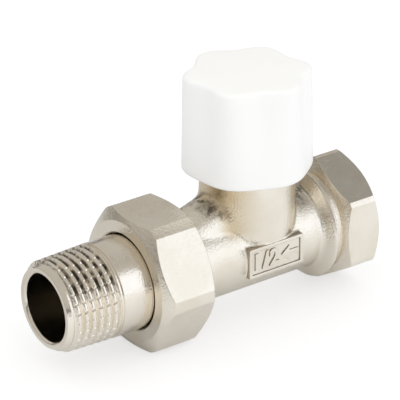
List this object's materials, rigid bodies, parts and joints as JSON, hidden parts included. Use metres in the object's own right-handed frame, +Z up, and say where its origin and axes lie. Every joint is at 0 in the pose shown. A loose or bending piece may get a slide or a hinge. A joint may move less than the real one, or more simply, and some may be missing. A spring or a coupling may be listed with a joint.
{
  "type": "straight valve",
  "caption": "Straight radiator valve with a union tail, a female socket, a lobed hand knob and a screw-down plug.",
  "frame": {"origin": "where the axis of the pipe run crosses the axis of the stem", "axes": "+X along the pipe run towards the female socket, +Z up the stem to the knob, -Y towards the plate on the body"},
  "size_m": [0.0817, 0.0332, 0.0566],
  "materials": {
    "satin_nickel": "satin nickel plating on forged brass",
    "bright_nickel": "machined, nickel plated",
    "brass": "machined",
    "white_plastic": "satin",
    "rubber": "matte",
    "ptfe": "matte",
    "spring_steel": "drawn wire"
  },
  "bodies": {
    "body": {"valve_body": "satin_nickel", "bonnet": "brass", "bonnet_seal": "rubber", "gland_nut": "brass", "spindle_wiper": "rubber", "thrust_washer_lower": "ptfe", "thrust_washer_upper": "ptfe"},
    "tail": {"tailpiece": "bright_nickel", "tail_gasket": "rubber"},
    "nut": {"union_nut": "satin_nickel"},
    "stem": {"spindle": "brass", "spindle_seal_lower": "rubber", "spindle_seal_upper": "rubber", "knob": "white_plastic", "knob_insert": "brass", "knob_clip": "spring_steel"},
    "shutter": {"plug": "brass", "seat_disc": "rubber", "disc_washer": "brass", "disc_screw": "brass"}
  },
  "joints": [
    {"name": "spindle_turn", "type": "hinge", "parent": "body", "child": "stem", "pos_m": [0, 0, 0], "axis": [0, 0, 1], "range_deg": [0, 720]},
    {"name": "plug_lift", "type": "slide", "parent": "body", "child": "shutter", "axis": [0, 0, 1], "range_m": [0, 0.003]},
    {"name": "tail_slide", "type": "slide", "parent": "body", "child": "tail", "axis": [-1, 0, 0], "range_m": [0, 0.00726]},
    {"name": "nut_turn", "type": "hinge", "parent": "tail", "child": "nut", "pos_m": [0, 0, 0], "axis": [-1, 0, 0], "range_deg": [0, 1440]}
  ],
  "couplings": [
    {"joint": "plug_lift", "follows": "spindle_turn", "m_per_rad": 0.0002387},
    {"joint": "tail_slide", "follows": "nut_turn", "m_per_rad": 0.0002887}
  ]
}
